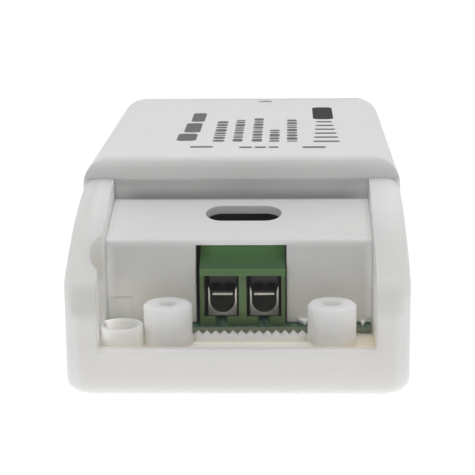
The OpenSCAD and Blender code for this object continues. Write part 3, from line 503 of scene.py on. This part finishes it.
# Each slot's finish: the function that makes it, and the values that follow the name there
recipes = {
    "case_white": (white_plastic, 0.86, 0.985, 0.5, 8),
    "cover_white": (white_plastic, 0.82, 0.89, 0.35, 0.15),
    "button_white": (white_plastic, 0.8, 0.8, 0.15, 0.5),
    "screw_steel": (plated_metal, (0.58, 0.58, 0.59), (0.42, 0.42, 0.43), 0.3, (1, 1, 6)),
    "clamp_nickel": (plated_metal, (0.92, 0.90, 0.84), (0.80, 0.77, 0.70), 0.04, (6, 1, 6), clamp_mouth),
    "contact_tin": (plated_metal, (0.86, 0.83, 0.76), (0.7, 0.67, 0.6), 0.1, (6, 1, 6), contact_mouth),
    "terminal_green": (terminal_moulding, (0.116, 0.195, 0.083), 0.36),
    "board_green": (laminate_board, (0.032, 0.092, 0.058), (0.065, 0.15, 0.09), (0.255, 0.31, 0.215), 1.3),
    "relay_black": (dyed_plastic, (0.018, 0.018, 0.02), (0.03, 0.03, 0.032), 0.4, 0.18),
    "bobbin_cream": (dyed_plastic, (0.66, 0.61, 0.48), (0.58, 0.52, 0.4), 0.38, 0.2),
    "copper_wire": (wound_wire, (0.66, 0.26, 0.10), (0.2, 0.06, 0.03), 0.18),
    "soft_iron": (plated_metal, (0.46, 0.45, 0.44), (0.33, 0.32, 0.31), 0.36, (6, 1, 1)),
    "contact_alloy": (plated_metal, (0.78, 0.52, 0.2), (0.6, 0.38, 0.14), 0.26, (6, 1, 6)),
    "ferrite": (dyed_plastic, (0.045, 0.045, 0.048), (0.075, 0.073, 0.072), 0.5, 0.12),
    "winding_tape": (wrapped_tape, (0.72, 0.52, 0.04), 3),
    "can_sleeve": (shrink_sleeve, (0.012, 0.016, 0.05), (0.55, 0.55, 0.5), (0.72, 0.72, 0.72)),
    "resistor_paint": (dipped_body, (0.13, 0.33, 0.42), (0.09, 0.25, 0.33)),
    "disc_paint": (dipped_body, (0.03, 0.12, 0.42), (0.02, 0.08, 0.3)),
    "chip_black": (dyed_plastic, (0.012, 0.012, 0.013), (0.022, 0.022, 0.023), 0.5, 0.1),
    "radio_mask": (laminate_board, (0.01, 0.014, 0.05), (0.03, 0.04, 0.12), (0.25, 0.27, 0.2), 0.9),
    "shield_tin": (plated_metal, (0.68, 0.67, 0.64), (0.52, 0.51, 0.48), 0.3, (1, 6, 1)),
    "led_resin": (clear_resin, (0.86, 0.83, 0.66), (0.8, 0.62, 0.12)),
}
finishes = {slot: recipe(slot, *values) for slot, (recipe, *values) in recipes.items()}
for subpart in frame["record"]["subparts"]:
    materials = frame["nodes"][subpart["node"]].data.materials
    materials.clear()
    materials.append(finishes[subpart["material_slot"]])


def new_object(name, points, faces, finish):
    """Puts points, in millimetres, and faces into a mesh object with a finish."""
    mesh = bpy.data.meshes.new(name)
    mesh.from_pydata(points.reshape(-1, 3) * MM, [], faces)
    mesh.materials.append(finish)
    mesh.validate()
    made = bpy.data.objects.new(name, mesh)
    scene.collection.objects.link(made)
    return made


def new_piece(name, shape, finish, body):
    """Makes a piece from a shape's points and faces. It rides on a body and takes its finish from a slot."""
    piece = new_object(name, *shape, finish)
    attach(piece, body)


def between_rings(index):
    """Quads that join each ring of point numbers to the next. The last axis runs round a ring."""
    low, high = index[..., :-1, :], index[..., 1:, :]
    quads = np.stack([low, np.roll(low, -1, -1), np.roll(high, -1, -1), high], -1)
    return quads.reshape(-1, 4).tolist()


def round_directions(steps, first=0.0):
    """Unit directions round a circle: the cosine and sine of angles that are equal steps apart."""
    angle = (np.arange(steps) + first) * (2 * math.pi / steps)
    return np.stack([np.cos(angle), np.sin(angle)], 1)


def at_heights(flat, heights):
    """Adds a height to each ring of flat points. The rings are the third axis from the end."""
    lifted = np.broadcast_to(np.asarray(heights)[:, None, None], flat.shape[:-1] + (1,))
    return np.concatenate([flat, lifted], -1)


def printed_bars(boxes, film, roundness=0.32, steps=24):
    """Flat bars with round corners, one for each row of boxes: middle x and y, width and length.

    Each bar has two rings of points, on the deck and one film above it. A point is the corner of the box
    that lies towards an angle, drawn in both ways by a radius and pushed out by it along the angle.
    """
    boxes = np.asarray(boxes, float)
    way = round_directions(steps, 0.5)
    radius = roundness * boxes[:, None, 2:4].min(2, keepdims=True)
    ring = boxes[:, None, 0:2] + np.sign(way) * (boxes[:, None, 2:4] / 2 - radius) + way * radius
    points = at_heights(np.stack([ring, ring], 1), [deck_top, deck_top + film])
    index = np.arange(points[..., 0].size).reshape(points.shape[:3])
    caps = index[:, 0, ::-1].tolist() + index[:, 1].tolist()
    return points, caps + between_rings(index)


def rounded_wedge(corners, radius, low, high, steps=24):
    """A low plate with round corners and a round upper edge.

    A ring takes, for each angle, the corner that lies furthest that way, pushed out by a radius along the
    angle. The two lowest rings have the full radius, and the upper ones shrink along most of a quarter
    circle.
    """
    corners = np.asarray(corners, float)
    way = round_directions(steps)
    outline = corners[np.argmax(way @ corners.T, 1)]
    turn = np.linspace(0, 0.45 * math.pi, 5)
    spread = radius * np.concatenate([[1], np.cos(turn)])
    heights = np.concatenate([[low], high - radius + radius * np.sin(turn)])
    points = at_heights(outline + way * spread[:, None, None], heights)
    index = np.arange(points[..., 0].size).reshape(points.shape[:2])
    caps = [index[0, ::-1].tolist(), index[-1].tolist()]
    return points, between_rings(index) + caps


def bar_column(x, width, near, far, number):
    """A column of bars from near to far. Their lengths swing with the sum of two sine waves."""
    mean_pitch = 2.1
    gap = 0.5
    k = np.arange(round((far - near) / mean_pitch))
    length = 1.5 + 0.55 * np.sin(2.1 * k + 1.3 * number) + 0.3 * np.sin(5.3 * k + number)
    pitch = length + gap
    scale = (far - near) / pitch.sum()
    start = near + scale * (np.cumsum(pitch) - pitch)
    middle = start + scale * length / 2
    return np.stack([np.full(len(k), x), middle, np.full(len(k), width), scale * length], 1)


def plain_rows():
    """Bars on the deck: five columns, wide bars at their left, a stack at their right, marks at the edge."""
    lines = [(-3.3, 1.55, -13.2, 3.6), (-0.8, 1.3, -13.2, 4.7), (1.75, 1.35, -13.3, 6.0),
             (4.05, 1.35, -13.4, -3.6), (6.4, 1.4, -13.4, 4.8)]
    columns = [bar_column(*line, number) for number, line in enumerate(lines)]
    wide = [(-7.6, -9.7, 2.6, 5.6), (-7.2, -2.2, 2.2, 7.6), (-6.9, 6.6, 1.9, 7.6)]
    stack = [(10.9, -13.2 + 3.1 * k, 3.5 - 0.25 * k, 1.1) for k in range(6)]
    edge_marks = [(-5.3, -16.9, 3.0, 1.1), (0.4, -17.3, 1.7, 1.1), (2.3, -17.3, 1.5, 1.1),
                  (4.0, -17.3, 1.3, 1.1), (9.2, -17.4, 3.0, 1.2)]
    return np.concatenate(columns + [wide, stack, edge_marks])


# A second small foot of the front wall, on the board beside the right-hand post
toe_back = 0.3 - front_wall
toe_tip = 0.05 - front_wall_foot
toe_corners = [(bay_side - 1.4, toe_back), (bay_side - 0.7, toe_back), (bay_side - 1.16, toe_tip)]
toe = rounded_wedge(toe_corners, 0.07, board_top + 0.02, board_top + 0.42)
new_piece("front_wall_toe", toe, finishes["cover_white"], "housing")

# Plain printed bars on the deck
ink_film = 0.004
dark_bar = [(10.85, 9.9, 2.9, 10.8)]
dark_ink = printing_ink("label_ink", (0.016, 0.016, 0.017), (0.04, 0.04, 0.04))
grey_ink = printing_ink("label_ink_grey", (0.15, 0.15, 0.15), (0.32, 0.32, 0.32))
new_piece("deck_label", printed_bars(dark_bar, ink_film), dark_ink, "housing")
new_piece("deck_label_rows", printed_bars(plain_rows(), ink_film), grey_ink, "housing")


def studio_floor(radius, rings, steps, drop):
    """A flat round floor, a small drop below the box.

    The reach of its rings, from the rim inwards, is the radius times the square of a share that falls
    evenly from one to a tenth.
    """
    reach = np.linspace(1.0, 0.1, rings) ** 2 * radius
    flat = round_directions(steps) * reach[:, None, None]
    index = np.arange(rings * steps).reshape(rings, steps)
    return at_heights(flat, np.full(rings, -drop)), between_rings(index) + [index[-1].tolist()]


def pale_paper(name, glow, soak):
    """Evenly lit paper: mostly its own light, with a little that takes shadow."""
    look = Finish(name)
    fibre = look.noise(2, 2.0)
    return look.done({"Base Color": look.tint(fibre, (soak, soak, soak), tone(0.97, (soak, soak, soak))),
                      "Roughness": 0.9, "Specular IOR Level": 0.0,
                      "Emission Color": (1.0, 1.0, 1.0, 1.0), "Emission Strength": glow})


floor = new_object("studio_floor", *studio_floor(3000, 40, 96, 0.02), pale_paper("floor_paper", 0.95, 0.1))


def softbox(name, place, target, size, power, spread=180, mirrored=False):
    """A soft light that faces a point, in millimetres and degrees. A small spread gives a narrow beam."""
    lamp = bpy.data.lights.new(name, "AREA")
    lamp.shape = "RECTANGLE"
    lamp.size = size[0] * MM
    lamp.size_y = size[1] * MM
    lamp.energy = power
    lamp.spread = math.radians(spread)
    holder = bpy.data.objects.new(name, lamp)
    holder.visible_camera = False
    holder.visible_glossy = mirrored
    scene.collection.objects.link(holder)
    aim = Vector(target) - Vector(place)
    turned = aim.to_track_quat("-Z", "Y").to_matrix().to_4x4()
    holder.matrix_world = Matrix.Translation(Vector(place) * MM) @ turned


softbox("top_light", (0, -240, 740), (0, 0, 0), (500, 500), 2.55, mirrored=True)

# Small panels in the near bay, for the light that comes through its thin white walls
behind_wall = 1.7 - front_wall
slope_place = (pole_middle, -front_wall - 3.3, 14)
softbox("slope_light", slope_place, (pole_middle, behind_wall, 13.9), (9.2, 1.4), 4.4e-5, 40)
mouth_place = (pole_middle, -front_wall - 3.8, 9)
softbox("mouth_light", mouth_place, (pole_middle, behind_wall, 8.5), (9, 4), 3.8e-5, 60)
bay_middle = -(front_wall + half_length) / 2
beside_wall = bay_side - 0.2
softbox("left_wall_glow", (-beside_wall, bay_middle, 8), (0, bay_middle, 8), (9, 4.4), 1.05e-4)
softbox("right_wall_glow", (beside_wall, bay_middle, 8.5), (0, bay_middle, 8.5), (9, 4), 3.2e-5)
for name, side, power in (("left_corner_glow", -1, 2.2e-6), ("right_corner_glow", 1, 1.2e-6)):
    place = (side * (bay_side - 0.9), -front_wall - 0.9, 9.5)
    corner = (side * (bay_side + 0.1), 0.1 - front_wall, 9.5)
    softbox(name, place, corner, (0.8, 7), power, 60)


def light_tent(seen, front, tent):
    """A white tent, dim towards its open front at -Y, and plain white where the camera looks past the floor.

    The glow rises smoothly with the Y part of the direction.
    """
    world = bpy.data.worlds.new("light_tent")
    world.use_nodes = True
    graph = Graph(world.node_tree)
    way = graph.node("ShaderNodeTexCoord", {}, {}, "Generated")
    back = graph.part(way, "Y")
    span = {"Value": back, "From Min": -0.7, "From Max": 0.6, "To Min": front, "To Max": tent}
    glow = graph.node("ShaderNodeMapRange", {"interpolation_type": "SMOOTHSTEP"}, span)
    looked_at = graph.node("ShaderNodeLightPath", {}, {}, "Is Camera Ray")
    strength = graph.node("ShaderNodeMix", {}, {"Factor": looked_at, "A": glow, "B": seen})
    graph.fill(graph.tree.nodes["Background"], {"Color": (1.0, 1.0, 1.0, 1.0), "Strength": strength})
    scene.world = world


light_tent(1.0, 0.12, 0.78)

# Plain tones, with the blacks lifted a little as by stray light in a lens
lens_glare = 0.012
scene.view_settings.view_transform = "Standard"
scene.view_settings.use_curve_mapping = True
scene.view_settings.curve_mapping.black_level = (-lens_glare, -lens_glare, -lens_glare)
scene.view_settings.curve_mapping.update()

# Camera: pitch below the horizon, turn from +Y and roll in degrees, fitted to the box's straight edges
pitch, turn, roll = (math.radians(v) for v in (13.751, -1.989, -0.602))
focal_pixels = 1537.203
image_pixels = 475.0
eye = Vector((5.999, -212.052, 59.340)) * MM
ahead = Vector((math.sin(turn) * math.cos(pitch), math.cos(turn) * math.cos(pitch), -math.sin(pitch)))
level = Vector((math.cos(turn), -math.sin(turn), 0.0))
upward = level.cross(ahead)
side_axis = level * math.cos(roll) + upward * math.sin(roll)
up_axis = upward * math.cos(roll) - level * math.sin(roll)
lens = bpy.data.cameras.new("camera")
lens.sensor_width = 36.0
lens.lens = lens.sensor_width * focal_pixels / image_pixels
lens.clip_start = 0.01
camera = bpy.data.objects.new("camera", lens)
scene.collection.objects.link(camera)
camera.matrix_world = Matrix.Translation(eye) @ Matrix((side_axis, up_axis, -ahead)).transposed().to_4x4()
scene.camera = camera
